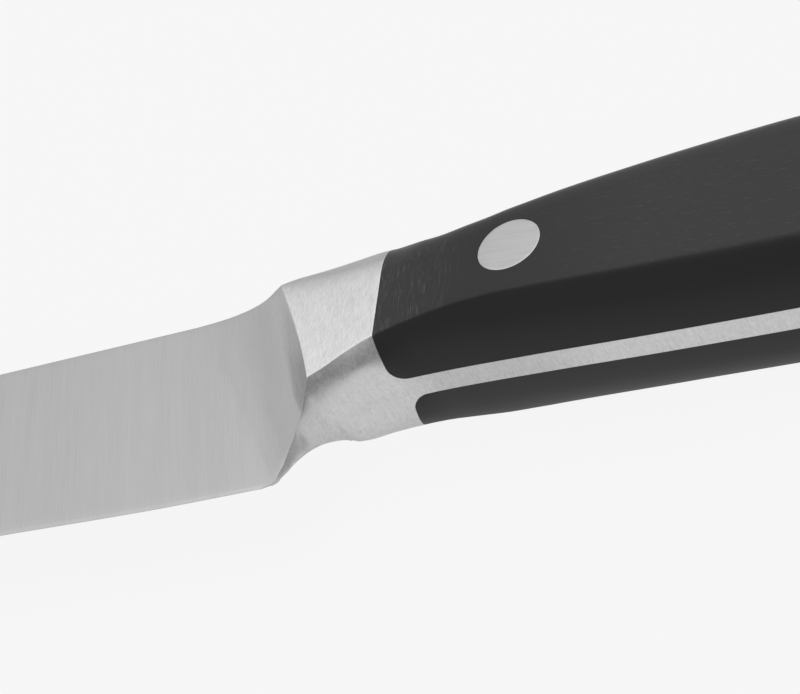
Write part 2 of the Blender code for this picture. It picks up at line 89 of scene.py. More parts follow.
# Blade: long, narrow and thin, ground to an edge. Shapes are shares of the way to the tip.
# The bevel is at most bevelMost of the blade's height and runs out over bevelFade at the heel.
blade = dict(
    length=200.0, heelSetback=13.1, heelDepth=18.4, heelRadius=2.1, heelRun=1.05,
    spineHeight=7.6, spineDrop=3.2, tipHeight=0.8, spineRadius=0.25,
    spineThickness=1.8, tipThickness=1.0, edgeThickness=0.30,
    bevelHeight=0.4, bevelEdge=0.04, bevelFade=1.5, bevelMost=0.3, columns=170,
    spineShape=[(0.0, 0.0), (0.50, 0.0), (0.70, 0.06), (0.85, 0.24), (0.95, 0.60), (1.0, 1.0)],
    edgeShape=[(0.0, 0.0), (0.055, 0.004), (0.17, 0.042), (0.35, 0.108), (0.55, 0.196),
               (0.73, 0.32), (0.86, 0.49), (0.95, 0.71), (1.0, 1.0)])

# Hollow sweep from the blade up to the bolster's front crease, and the finger hollow under it.
# Going down the hollow, its crest moves to the lower side over crestFade, and turnReach is where
# it faces squarely out of the hollow.
sweep = dict(
    atSpine=11.0, atHeel=8.2, columns=40, fingerSpacing=1.15,
    upperFlat=0.05, upperBend=0.22, lowerFlat=0.30, lowerBend=0.30, lowerCut=0.12,
    crest=-0.40, crestFade=(0.42, 0.60), turnReach=0.40, slopeStep=0.01,
    choilCrown=0.42, heelFade=(1.0, 0.9),
    shape=[(0.0, 0.0), (0.28, 0.085), (0.50, 0.215), (0.70, 0.415), (0.83, 0.635), (1.0, 1.0)],
    crownShape=[(0.0, 1.0), (0.06, 0.91), (0.12, 0.79), (0.20, 0.58), (0.30, 0.32), (0.42, 0.10),
                (0.54, 0.0)],
    fingerShape=[(0.0, 0.0), (0.012, 0.030), (0.036, 0.070), (0.07, 0.112), (0.14, 0.185), (0.27, 0.32),
                 (0.41, 0.465), (0.66, 0.68), (0.80, 0.775), (0.91, 0.88), (0.955, 0.90), (1.0, 1.0)])

# Bolster: flat tapering sides, rounded top, belly crowned towards the blade. Along x, topAcross and
# topFall say how far the top's rounding reaches across and down the sides, and upperFlat and
# lowerFlat how far the belly is flat on the side that faces up and on the other.
bolster = dict(
    footSetback=8.2, slant=7.7, bow=0.4, footDepth=8.9, cornerHeight=8.3, cornerRun=3.0,
    topHeight=8.7, bellyDepth=8.35, frontThickness=7.5, footThickness=10.2, backThickness=13.8,
    topAcross=[(-26.9, 0.25), (-18.9, 0.56), (-17.0, 0.40), (-15.9, 0.44), (-13.5, 0.90), (-2.6, 3.0),
               (0.0, 4.0), (2.2, 4.5), (4.5, 5.2)],
    topFall=[(-26.9, 0.25), (-18.9, 0.75), (-15.9, 4.0), (-2.6, 6.0), (0.0, 6.6), (4.0, 5.2)],
    bellyShape=[(0.0, 0.0), (0.24, 0.27), (0.59, 0.73)],
    upperFlat=[(-8.2, 1.2), (-6.3, 2.2), (-4.4, 3.3), (-2.5, 4.1), (-1.0, 3.9), (0.0, 3.0), (1.6, 2.0),
               (3.5, 1.325)],
    lowerFlat=[(-8.2, 1.2), (-4.0, 3.0), (0.0, 3.0), (3.5, 1.325)],
    upperBend=0.32, lowerBend=0.55, crown=1.2, crownPower=1.6, edgeRadius=0.12, creaseCut=0.04,
    mostCut=0.25, mostAcross=0.5, columns=40)

# Scales and tang: swell, waist, drop to the beak. Shapes are shares of the way to the butt.
# Over crispFrom the bolster's soft bend turns into the crisp crease of the scales.
handle = dict(
    length=113.5, thickness=17.2, tangThickness=2.65, rootRadius=1.8,
    lean=0.08, leanReach=30.0, swellReach=13.3, facetBend=0.05, crispFrom=(-1.5, 3.0),
    facetCrown=0.35, lowerFacetCrown=0.62, lowerCrownReach=6.0,
    waistHeight=8.05, topHeight=12.594, bellyDepth=11.2, facetHeight=2.6, facetReach=30.3,
    buttTop=11.2, buttBeak=14.0, buttBulge=6.0, buttReach=28.0, buttPower=2.6, buttRadius=2.0,
    topShape=[(0.060, 0.0), (0.095, 0.05), (0.137, 0.215), (0.180, 0.39), (0.223, 0.522), (0.321, 0.75),
              (0.419, 0.895), (0.628, 1.0)],
    bellyShape=[(0.0, 0.0), (0.050, 0.02), (0.142, 0.165), (0.282, 0.47), (0.421, 0.705),
                (0.684, 1.0)],
    beakShape=[(0.888, 0.45), (1.0, 1.0)],
    facetShape=[(0.0, 0.03), (0.05, 0.14), (0.125, 0.40), (0.21, 0.59), (0.41, 0.76),
                (0.61, 0.935), (1.0, 1.0)],
    swellShape=[(0.0, 0.0), (0.40, 0.56), (0.70, 0.87), (1.0, 1.0)],
    creaseCut=0.12, creaseCutBack=0.9, creaseCutReach=60.0, closeFit=0.01, topMargin=0.05,
    columns=120, endColumns=8)

# Rivets: flush heads, a pin in a sleeve
rivets = dict(
    count=3, first=15.3, pitch=38.0, headDiameter=7.0, headHeight=1.8, sleeveDiameter=4.6,
    pinDiameter=2.6, sleeveGap=0.2, endGap=0.3, edge=0.06, edgeSteps=4, closeFit=0.012, steps=128,
    faceRings=(0.2, 0.4, 0.6, 0.8, 0.9))

# The side that faces down was ground by hand too, and its lower crease runs a little otherwise
underside = dict(
    sagShape=[(-9.2, 0.0), (-8.2, 0.16), (-7.2, 0.62), (-5.5, 0.73), (-3.0, 0.6), (0.0, 0.36), (1.5, 0.16),
              (3.5, 0.0), (9.0, 0.02), (18.0, 0.13), (32.0, 0.17), (45.0, 0.25), (70.0, 0.18), (100.0, 0.0)],
    fadeUp=(-6.5, -1.0), fullSagAt=5.0, innerShift=0.85, outerShift=-0.66, shiftAt=0.5, shiftReach=7.0)

rows = dict(belly=10, corner=4, side=24, round=14, top=4)    # points in half a section
sharpAngle = 30.0    # degrees between two faces from which their edge is drawn sharp

tangHalf = handle["tangThickness"] / 2
handleHalf = handle["thickness"] / 2
tipX = -blade["heelSetback"] - blade["length"]
creaseTopX = -bolster["footSetback"] - bolster["slant"]
creaseRise = bolster["cornerHeight"] + bolster["footDepth"]
sweepTopX = creaseTopX - sweep["atSpine"]
buttX = handle["length"] - handle["buttBulge"]


# Outlines in side view and in plan

def bladeShare(x):
    return clamp((-blade["heelSetback"] - x) / blade["length"])


def spineHeight(x):
    ahead = max(creaseTopX - x, 0.0)
    near = curveThrough(sweep["shape"], 1 - ahead / sweep["atSpine"])
    rise = (bolster["cornerHeight"] - blade["spineHeight"]) * near
    drop = blade["spineDrop"] * curveThrough(blade["spineShape"], bladeShare(x))
    return blade["spineHeight"] + rise - drop


def edgeHeight(x):
    tip = blade["spineHeight"] - blade["spineDrop"] - blade["tipHeight"]
    y = mix(-blade["heelDepth"], tip, curveThrough(blade["edgeShape"], bladeShare(x)))
    radius = blade["heelRadius"]
    into = clamp(x + blade["heelSetback"] + blade["heelRun"], 0.0, blade["heelRun"])    # worn heel corner
    return y + radius - math.sqrt(radius * radius - into * into)


def fingerPoint(share):
    # from the foot of the crease (0) down to the heel (1)
    x = -mix(bolster["footSetback"], blade["heelSetback"], curveThrough(sweep["fingerShape"], share))
    return x, mix(-bolster["footDepth"], edgeHeight(-blade["heelSetback"]), share)


def topHeight(x):
    front = [(creaseTopX, bolster["cornerHeight"]),
             (creaseTopX + bolster["cornerRun"], bolster["topHeight"]),
             (0.0, bolster["topHeight"])]
    back = stretched(handle["topShape"], (0.0, buttX), (handle["waistHeight"], handle["topHeight"]))
    return curveThrough(front + back + [(buttX, handle["buttTop"])], x)


def bellyHeight(x):
    front = stretched(bolster["bellyShape"], (-bolster["footSetback"], 0.0),
                      (bolster["footDepth"], bolster["bellyDepth"]))
    middle = stretched(handle["bellyShape"], (0.0, buttX),
                       (bolster["bellyDepth"], handle["bellyDepth"]))
    beak = stretched(handle["beakShape"], (0.0, buttX), (handle["bellyDepth"], handle["buttBeak"]))
    return -curveThrough(front + middle + beak, x)


def facetRise(x):
    return curveThrough(stretched(handle["facetShape"], (-bolster["footSetback"], handle["facetReach"]),
                                  (0.0, handle["facetHeight"])), x)


def sideHalf(x):
    front = [(creaseTopX, bolster["frontThickness"] / 2),
             (-bolster["footSetback"], bolster["footThickness"] / 2)]
    back = stretched(handle["swellShape"], (0.0, handle["swellReach"]),
                     (bolster["backThickness"] / 2, handleHalf))
    return curveThrough(front + back, x)


def creaseX(y):
    share = (y + bolster["footDepth"]) / creaseRise
    bow = max(bolster["bow"] * 4 * share * (1 - share), 0.0)
    return -bolster["footSetback"] - bolster["slant"] * share + bow


def bladeHalf(x, y):
    # hollow sweep on top of the flat grind
    spine = spineHeight(x)
    edge = edgeHeight(x)
    up = clamp((y - edge) / (spine - edge))
    back = mix(blade["spineThickness"], blade["tipThickness"], bladeShare(x))
    flat = mix(blade["edgeThickness"], back, up) / 2
    reach = mix(sweep["atHeel"], sweep["atSpine"],
                (y + blade["heelDepth"]) / (blade["spineHeight"] + blade["heelDepth"]))
    ahead = max(creaseX(y) - x, 0.0) * creaseRise / math.hypot(creaseRise, bolster["slant"])
    near = curveThrough(sweep["shape"], 1 - ahead / reach)
    return mix(flat, sideHalf(creaseX(max(y, -bolster["footDepth"]))), near)


def rootInset(x, radius):
    reach = clamp(radius - x, 0.0, radius)
    return radius - math.sqrt(radius * radius - reach * reach)


def outerLines(x, inset=0.0):
    half = sideHalf(x) - inset
    return dict(x=x, top=topHeight(x) - inset, belly=bellyHeight(x) + inset,
                crease=bellyHeight(x) + facetRise(x) + inset, half=half,
                across=min(curveThrough(bolster["topAcross"], x), half - tangHalf),
                fall=curveThrough(bolster["topFall"], x))


def topAt(lines, z):
    out = max(z - (lines["half"] - lines["across"]), 0.0) / lines["across"]
    return lines["top"] - lines["fall"] * (1 - math.sqrt(max(1 - out * out, 0.0)))


def hinge(z, flat, half, rounding, facetCrown=0.0):
    # 0 across the flat of the belly, then a rounded bend and a slightly crowned facet up to 1 at the crease
    def bend(place):
        t = (place - flat) / (half - flat)
        facet = (t + math.sqrt(t * t + rounding * rounding)) / 2
        return facet + facetCrown * (max(t, 0.0) ** 3 - facet)
    return (bend(z) - bend(0.0)) / (bend(half) - bend(0.0))


def bottomAt(lines, z, side=1, crown=0.0):
    # side is 1 on the side that faces up, -1 below it
    flat = curveThrough(bolster["upperFlat" if side > 0 else "lowerFlat"], lines["x"])
    soft = bolster["upperBend" if side > 0 else "lowerBend"]
    rounding = mix(soft, handle["facetBend"], smoothStep(*handle["crispFrom"], lines["x"]))
    depth = lines["crease"] - lines["belly"] + crown
    facetCrown = handle["facetCrown"]
    if side < 0:
        behind = smoothStep(0.0, handle["lowerCrownReach"], lines["x"])
        facetCrown = mix(facetCrown, handle["lowerFacetCrown"], behind)
    return lines["crease"] - depth * (1 - hinge(z, flat, lines["half"], rounding, facetCrown))


def slantedPlan(bottom, top, bow):
    def plan(y):
        share = (y - bottom[1]) / (top[1] - bottom[1])
        return mix(bottom[0], top[0], share) + bow * 4 * share * (1 - share)
    return plan


def handlePlan(x):
    # sections lean forward at the top near the bolster, and bulge back towards the butt
    low, high = bellyHeight(x), topHeight(x)
    crease = low + facetRise(x)
    lean = handle["lean"] * max(1 - x / handle["leanReach"], 0.0) ** 2
    bulge = handle["buttBulge"] * max((x - buttX + handle["buttReach"]) / handle["buttReach"], 0.0) ** 2

    def plan(y):
        fromMiddle = min(abs(2 * (y - low) / (high - low) - 1), 1.0)
        return x - lean * max(y - crease, 0.0) + bulge * (1 - fromMiddle ** handle["buttPower"])
    return plan


# Sections: half a loop runs from the belly out to the side and up to the top, as (x, y, z)

def lowerPart(inner, half, bellyAt, cut, plan):
    # belly from z = inner, then the corner rounded over cut on each side
    points = []
    for row in range(rows["belly"]):
        z = mix(inner, half - cut, row / rows["belly"])
        points.append((bellyAt(z), z))
    before = (bellyAt(half - cut), half - cut)
    corner = (bellyAt(half), half)
    after = (bellyAt(half) + cut, half)
    for row in range(rows["corner"] + 1):
        t = row / rows["corner"]
        points.append(tuple((1 - t) ** 2 * a + 2 * t * (1 - t) * c + t * t * b
                            for a, c, b in zip(before, corner, after)))
    return [(plan(y), y, z) for y, z in points]


def upperPart(start, lines, plan, half, turn=math.pi / 2):
    points = []
    for row in range(1, rows["side"] + 1):
        y = mix(start, lines["top"] - lines["fall"], row / rows["side"])
        points.append((plan(y), y, half(plan(y), y)))
    for row in range(1, rows["round"] + 1):
        angle = turn * row / rows["round"]
        y = lines["top"] - lines["fall"] * (1 - math.sin(angle))
        points.append((plan(y), y, half(plan(y), y) - lines["across"] * (1 - math.cos(angle))))
    return points


def topPart(last, z, topHeightAt, plan):
    # from the rounding's end across the top to z
    points = []
    for row in range(1, rows["top"] + 1):
        across = mix(last[2], z, row / rows["top"])
        y = topHeightAt(across)
        points.append((plan(y), y, across))
    return points


def bladeSection(bottom, top, bow=0.0, bevel=0.0, crowned=None, cut=0.0, out=(0.0, -1.0)):
    # from the edge or the finger hollow to the spine; crowned pushes the bottom out along out
    x, y = bottom
    foot = bladeHalf(x, y + bevel)
    cut = min(max(cut, bolster["creaseCut"]), bolster["mostCut"] * foot)

    def bellyAt(z):
        return y + bevel * clamp((z - blade["bevelEdge"]) / (foot - blade["bevelEdge"]))

    plan = slantedPlan((x, y + bevel), top, bow)
    across = min(curveThrough(bolster["topAcross"], top[0]), bolster["mostAcross"] * bladeHalf(*top))
    lines = dict(top=top[1], across=across, fall=curveThrough(bolster["topFall"], top[0]))
    lower = lowerPart(0.0, foot, bellyAt, cut, lambda height: x if height < y + bevel else plan(height))
    if crowned:
        pushed = [(point, crowned(min(point[2] / foot, 1.0))) for point in lower]
        lower = [(px + depth * out[0], py + depth * out[1], z) for (px, py, z), depth in pushed]
    upper = upperPart(y + bevel + cut, lines, plan, bladeHalf)
    return lower + upper + topPart(upper[-1], 0.0, lambda z: top[1], plan)


def sweepSection(share, side):
    # from the blade (1) to the crease (0), over the finger hollow, whose crest lies towards the lower side
    topX = mix(creaseTopX, sweepTopX, share)
    bottom = fingerPoint(share ** sweep["fingerSpacing"])
    footHalf = sideHalf(-bolster["footSetback"])
    fade = smoothStep(*sweep["crestFade"], share)
    crown = bolster["crown"] * curveThrough(sweep["crownShape"], share)
    crown += sweep["choilCrown"] * bladeHalf(*bottom) * fade * smoothStep(*sweep["heelFade"], share)
    crest = sweep["crest"] * fade

    def crowned(across):
        place = side * across - crest
        name = "upper" if place > 0 else "lower"
        flat = mix(bolster[name + "Flat"][0][1] / footHalf, sweep[name + "Flat"], fade)
        rounding = mix(bolster[name + "Bend"], sweep[name + "Bend"], fade)
        across = abs(place) / (1 - crest if place > 0 else 1 + crest)
        return crown * (1 - hinge(across, flat, 1.0, rounding, handle["facetCrown"] * (1 - fade)))

    cut = 0.0 if side > 0 else sweep["lowerCut"] * fade
    before = fingerPoint(max(share - sweep["slopeStep"], 0.0))
    after = fingerPoint(min(share + sweep["slopeStep"], 1.0))
    along = Vector((after[0] - before[0], after[1] - before[1])).normalized()
    square = Vector((-along.y, along.x))
    out = Vector((0.0, -1.0)).lerp(square, smoothStep(0.0, sweep["turnReach"], share))
    top = (topX, spineHeight(topX))
    return bladeSection(bottom, top, bolster["bow"] * (1 - share), 0.0, crowned, cut, out)


def bolsterSection(share, side, inset=0.0):
    # from the crease (0) to the front of the scales (1); inset rounds the sides off there
    shoulderTop = handlePlan(0.0)(topHeight(0.0))
    low = outerLines(mix(-bolster["footSetback"], 0.0, share))
    high = outerLines(mix(creaseTopX, shoulderTop, share))
    low["half"] -= inset
    leaning = slantedPlan((low["x"], low["crease"]), (high["x"], high["top"]), bolster["bow"] * (1 - share))

    def plan(y):
        return leaning(max(y, low["crease"]))

    crown = bolster["crown"] * (1 - share) ** bolster["crownPower"]
    lower = lowerPart(0.0, low["half"], lambda z: bottomAt(low, z, side, crown), bolster["creaseCut"], plan)
    upper = upperPart(low["crease"] + bolster["creaseCut"], high, plan, lambda x, y: sideHalf(x) - inset)
    return lower + upper + topPart(upper[-1], 0.0, lambda z: high["top"], plan)


def handleLines(x, inset):
    plan = handlePlan(x)
    return plan, outerLines(x, inset), outerLines(plan(topHeight(x)), inset)


def tangSection(x, side, inset=0.0):
    # flush with the scales, thicker along its root fillet
    plan, low, high = handleLines(x, inset)
    half = tangHalf + rootInset(x, handle["rootRadius"])
    lower = lowerPart(0.0, half, lambda z: bottomAt(low, z, side), handle["closeFit"], plan)
    start, end = lower[-1][1], topAt(high, half)
    count = rows["side"] + rows["round"]
    middle = [mix(start, end, row / count) for row in range(1, count + 1)]
    upper = [(plan(y), y, half) for y in middle]
    return lower + upper + topPart(upper[-1], 0.0, lambda z: topAt(high, z), plan)


def scaleSection(x, side, inset=0.0):
    # the whole loop of a scale: out and over, then back down against the tang
    plan, low, high = handleLines(x, inset)
    fit = handle["closeFit"]
    inner = tangHalf + fit + rootInset(x - fit, handle["rootRadius"] - fit)
    cut = mix(handle["creaseCut"], handle["creaseCutBack"], smoothStep(0.0, handle["creaseCutReach"], x))
    outside = inner + handle["topMargin"]    # the rounding ends just clear of the inner face
    turn = math.acos(clamp((outside - high["half"] + high["across"]) / high["across"]))
    lower = lowerPart(inner, low["half"], lambda z: bottomAt(low, z, side), cut, plan)
    upper = upperPart(low["crease"] + cut, high, plan, lambda atX, y: sideHalf(atX) - inset, turn)
    outer = lower + upper + topPart(upper[-1], inner, lambda z: topAt(high, z), plan)
    last = len(outer) - 1
    inside = [mix(outer[0][1], outer[-1][1], row / last) for row in range(last - 1, 0, -1)]
    return outer + [(plan(y), y, inner) for y in inside]


def handleSections(section, side, start, radius):
    # root fillet, length, rounded end of the butt
    loops = []
    for step in range(handle["endColumns"] + 1):
        turn = math.pi / 2 * step / handle["endColumns"]
        loops.append(section(start + radius * (1 - math.cos(turn)), side))
    flatEnd = buttX - handle["buttRadius"]
    for column in range(1, handle["columns"] + 1):
        loops.append(section(mix(start + radius, flatEnd, column / handle["columns"]), side))
    for step in range(1, handle["endColumns"] + 1):
        turn = math.pi / 2 * step / handle["endColumns"]
        loops.append(section(flatEnd + handle["buttRadius"] * math.sin(turn), side,
                             handle["buttRadius"] * (1 - math.cos(turn))))
    return loops


# Meshes

def middleHeight(x):
    return (topHeight(x) + bellyHeight(x)) / 2


# the blade's tip, its heel and the middle of the tang fix the plan in the frame
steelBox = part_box("blade_bolster_and_tang")
planOrigin = Vector((steelBox[0].x - tipX * mm, steelBox[0].y + blade["heelDepth"] * mm,
                     (steelBox[0].z + steelBox[1].z) / 2))


def underSide(x, y, z):
    # on the side that faces down the lower crease sags, and the front of the scale stands less upright
    if z >= 0:
        return x, y, z
    low = 1 - smoothStep(*underside["fadeUp"], y)
    sag = curveThrough(underside["sagShape"], x)
    near = 1 - smoothStep(0.0, underside["shiftReach"], abs(x - underside["shiftAt"]))
    across = clamp((-z - tangHalf) / (bolster["backThickness"] / 2 - tangHalf))
    shift = mix(underside["innerShift"], underside["outerShift"], across) * clamp(-z / tangHalf)
    return x + shift * near * low, y - sag * low * clamp(-z / underside["fullSagAt"]), z


def toWorld(x, y, z):
    return planOrigin + Vector(underSide(x, y, z)) * mm


def finishMesh(name, shape):
    bmesh.ops.recalc_face_normals(shape, faces=shape.faces)
    mesh = bpy.data.meshes.new(name)
    shape.to_mesh(mesh)
    shape.free()
    mesh.shade_smooth()
    mesh.set_sharp_from_angle(angle=math.radians(sharpAngle))
    piece = bpy.data.objects.new(name, mesh)
    bpy.context.scene.collection.objects.link(piece)
    return piece


def closeEnd(shape, ring):
    # strips across the end, from one side of the loop to the other
    count = len(ring)
    top = count // 2
    shape.faces.new((ring[0], ring[1], ring[count - 1]))
    for i in range(1, top - 1):
        shape.faces.new((ring[i], ring[i + 1], ring[count - i - 1], ring[count - i]))
    shape.faces.new((ring[top - 1], ring[top], ring[top + 1]))


def skin(loops, side=1, slotOf=None):
    # a closed skin over loops of one length; slotOf(loop number, point number) picks the finish
    shape = bmesh.new()
    rings = [[shape.verts.new(toWorld(x, y, side * z)) for x, y, z in loop] for loop in loops]
    count = len(rings[0])
    for number, (ring, following) in enumerate(zip(rings, rings[1:])):
        for i in range(count):
            j = (i + 1) % count
            face = shape.faces.new((ring[i], ring[j], following[j], following[i]))
            if slotOf:
                face.material_index = slotOf(number, min(i, count - 1 - i))
    closeEnd(shape, rings[0])
    closeEnd(shape, rings[-1])
    bmesh.ops.remove_doubles(shape, verts=shape.verts, dist=1e-7)
    return shape


def bothSides(upper, lower):
    return upper + [(x, y, -z) for x, y, z in lower[-2:0:-1]]


def makeForging(steels):
    loops = []
    for column in range(blade["columns"]):
        share = 1 - column / blade["columns"]
        bottomX = -blade["heelSetback"] - blade["length"] * share
        topX = mix(sweepTopX, tipX, share)
        edge = edgeHeight(bottomX)
        fade = smoothStep(0.0, blade["bevelFade"], -blade["heelSetback"] - bottomX)
        bevel = min(blade["bevelHeight"] * fade, blade["bevelMost"] * (spineHeight(bottomX) - edge))
        half = bladeSection((bottomX, edge), (topX, spineHeight(topX)), bevel=bevel)
        loops.append(bothSides(half, half))
    for column in range(sweep["columns"] + 1):
        share = 1 - column / sweep["columns"]
        loops.append(bothSides(sweepSection(share, 1), sweepSection(share, -1)))
    creaseLoop = len(loops) - 1
    rounded = bolster["edgeRadius"] / bolster["footSetback"]
    columns = bolster["columns"]
    shoulder = [((1 - rounded) * column / columns, 0.0) for column in range(1, columns + 1)]
    for turn in (math.pi / 6, math.pi / 3, math.pi / 2):
        shoulder.append((1 - rounded * (1 - math.sin(turn)), bolster["edgeRadius"] * (1 - math.cos(turn))))
    for share, inset in shoulder:
        loops.append(bothSides(bolsterSection(share, 1, inset), bolsterSection(share, -1, inset)))
    shoulderLoop = len(loops) - 1
    tangHalves = [handleSections(tangSection, side, 0.0, handle["rootRadius"]) for side in (1, -1)]
    loops += [bothSides(upper, lower) for upper, lower in zip(*tangHalves)]
    cornerPoint = rows["belly"] + rows["corner"] // 2
    heelLoop = blade["columns"]

    def slotOf(loop, point):
        if loop < creaseLoop:
            return 2 if loop >= heelLoop and point < cornerPoint else 0
        if loop < shoulderLoop and point >= cornerPoint:
            return 1
        return 2

    piece = finishMesh("forging", skin(loops, slotOf=slotOf))
    for material in steels:
        piece.data.materials.append(material)
    return piece


def rivetHoleCutter(number):
    x = rivets["first"] + rivets["pitch"] * (number - 1)
    radius = rivets["headDiameter"] / 2 + rivets["closeFit"]
    shape = bmesh.new()
    bmesh.ops.create_cone(shape, cap_ends=True, segments=rivets["steps"], radius1=radius * mm,
                          radius2=radius * mm, depth=3 * handleHalf * mm,
                          matrix=Matrix.Translation(toWorld(x, middleHeight(x), 0.0)))
    return finishMesh("rivetHoleCutter%d" % number, shape)


def drilled(piece, cutters):
    # cuts the rivet holes for good, so that the rims can be marked sharp
    for cutter in cutters:
        hole = piece.modifiers.new("rivet hole", "BOOLEAN")
        hole.operation = "DIFFERENCE"
        hole.solver = "EXACT"
        hole.object = cutter
    bpy.context.view_layer.update()
    evaluated = piece.evaluated_get(bpy.context.evaluated_depsgraph_get())
    mesh = bpy.data.meshes.new_from_object(evaluated)
    piece.modifiers.clear()
    piece.data = mesh
    mesh.shade_smooth()
    mesh.set_sharp_from_angle(angle=math.radians(sharpAngle))


def makeScale(name, side, cutters, plastic):
    fit = handle["closeFit"]
    loops = handleSections(scaleSection, side, fit, handle["rootRadius"] - fit)
    piece = finishMesh(name, skin(loops, side))
    drilled(piece, cutters)
    piece.data.materials.clear()
    piece.data.materials.append(plastic)
    return piece


def makeRivetHalf(number, side, steel):
    # a disc ground flush with its scale, on a pin (upper half) or a sleeve (lower half)
    x = rivets["first"] + rivets["pitch"] * (number - 1)
    radius = rivets["headDiameter"] / 2
    top, seat = handleHalf, handleHalf - rivets["headHeight"]
    edge = rivets["edge"]
    profile = [(radius * share, top) for share in rivets["faceRings"]]
    for step in range(rivets["edgeSteps"] + 1):
        turn = math.pi / 2 * step / rivets["edgeSteps"]
        profile.append((radius - edge * (1 - math.sin(turn)), top - edge * (1 - math.cos(turn))))
    profile.append((radius, seat))
    end = -seat + rivets["endGap"]
    if side > 0:
        pin = rivets["pinDiameter"] / 2
        profile += [(pin, seat), (pin, end)]
    else:
        sleeve = rivets["sleeveDiameter"] / 2
        bore = rivets["pinDiameter"] / 2 + rivets["sleeveGap"]
        profile += [(sleeve, seat), (sleeve, end), (bore, end), (bore, seat)]
    shape = bmesh.new()
    rings = []
    for across, z in profile:
        ring = []
        for step in range(rivets["steps"]):
            turn = 2 * math.pi * step / rivets["steps"]
            atX = x + across * math.cos(turn)
            y = middleHeight(x) + across * math.sin(turn)
            height = z - (handleHalf - sideHalf(atX)) if z > seat else z    # flush with the swell
            ring.append(shape.verts.new(toWorld(atX, y, side * height)))
        rings.append(ring)
    for ring, following in zip(rings, rings[1:]):
        for i in range(rivets["steps"]):
            j = (i + 1) % rivets["steps"]
            shape.faces.new((ring[i], ring[j], following[j], following[i]))
    shape.faces.new(rings[0])
    shape.faces.new(rings[-1])
    kind = "Pin" if side > 0 else "Sleeve"
    piece = finishMesh("rivet%d%sHalf" % (number, kind), shape)
    piece.data.materials.append(steel)
    return piece


# Materials

# In a look, sizes are in mm, leans in degrees, and reaches count along x from the front of the scales.
# A span says between which values of a noise or a direction something comes in.
# A pixel is about 0.1 mm wide, so finer marks weren't measured: their real width is taken as 0.05 mm,
# a guess from usual grits, and they are drawn as coarse as they need to show.
patternSpan = (0.35, 0.65)    # where the noise of the streaks mostly lies


def linearColour(hexText):
    channels = [int(hexText[i:i + 2], 16) / 255 for i in (1, 3, 5)]
    return [c / 12.92 if c <= 0.04045 else ((c + 0.055) / 1.055) ** 2.4 for c in channels] + [1.0]


def addNode(tree, kind, inputs=None, **settings):
    # inputs holds a value for a socket, or the output that feeds it; the new node's output comes back
    node = tree.nodes.new(kind)
    for name, value in settings.items():
        setattr(node, name, value)
    for socket, value in (inputs or {}).items():
        if isinstance(value, bpy.types.NodeSocket):
            tree.links.new(value, node.inputs[socket])
        else:
            node.inputs[socket].default_value = value
    return next((output for output in node.outputs if output.enabled), None)


def streaks(tree, spacing, length, lean=0.0, along="y"):
    # noise drawn out into lines: spacing across them and length along them in mm, lean in degrees
    place = addNode(tree, "ShaderNodeTexCoord").node.outputs["Object"]
    turned = addNode(tree, "ShaderNodeVectorRotate", {"Vector": place, "Angle": math.radians(lean)},
                     rotation_type="Z_AXIS")
    sizes = [1 / (spacing * mm)] * 3
    sizes["xyz".index(along)] = 1 / (length * mm)
    drawn = addNode(tree, "ShaderNodeVectorMath", {0: turned, 1: sizes}, operation="MULTIPLY")
    return addNode(tree, "ShaderNodeTexNoise",
                   {"Vector": drawn, "Scale": 1.0, "Detail": 3.0, "Roughness": 0.6})


def together(tree, first, second, share):
    # share of the first pattern, the rest of the second
    part = addNode(tree, "ShaderNodeMath", {0: first, 1: share}, operation="MULTIPLY")
    return addNode(tree, "ShaderNodeMath", {0: second, 1: 1 - share, 2: part}, operation="MULTIPLY_ADD")


def facing(tree, axis):
    # how far the surface faces along one axis of the knife, from -1 to 1
    normal = addNode(tree, "ShaderNodeTexCoord").node.outputs["Normal"]
    return addNode(tree, "ShaderNodeSeparateXYZ", {0: normal}).node.outputs["XYZ".index(axis)]


def placeAlong(tree, axis):
    # where the surface lies along one axis of the frame, in metres
    place = addNode(tree, "ShaderNodeTexCoord").node.outputs["Object"]
    return addNode(tree, "ShaderNodeSeparateXYZ", {0: place}).node.outputs["XYZ".index(axis)]


def newMaterial(name, metallic=0.0):
    material = bpy.data.materials.new(name)
    material.use_nodes = True
    material.node_tree.nodes["Principled BSDF"].inputs["Metallic"].default_value = metallic
    return material


def finishFromPattern(material, look, shade, marks, paintedShade=0.0):
    # shade sets colour and roughness, and marks stand up by the depth in mm; the last mask is painted shade:
    # where it reaches 1 the colour is multiplied by the look's shade colour and reads darker
    tree = material.node_tree
    share = addNode(tree, "ShaderNodeMapRange",
                    {0: shade, 1: 0.5 - look["contrast"], 2: 0.5 + look["contrast"]})
    colour = addNode(tree, "ShaderNodeMix",
                     {0: share, 6: linearColour(look["dark"]), 7: linearColour(look["light"])},
                     data_type="RGBA")
    if "paintedShade" in look:
        colour = addNode(tree, "ShaderNodeMix", {0: paintedShade, 6: colour, 7: linearColour(look["paintedShade"])},
                         data_type="RGBA", blend_type="MULTIPLY")
    rough = addNode(tree, "ShaderNodeMapRange",
                    {0: shade, 1: patternSpan[0], 2: patternSpan[1], 3: look["smooth"], 4: look["rough"]})
    bump = addNode(tree, "ShaderNodeBump",
                   {"Height": marks, "Distance": look["depth"] * mm, "Strength": 1.0})
    shader = tree.nodes["Principled BSDF"]
    tree.links.new(colour, shader.inputs["Base Color"])
    tree.links.new(rough, shader.inputs["Roughness"])
    tree.links.new(bump, shader.inputs["Normal"])
    return shader


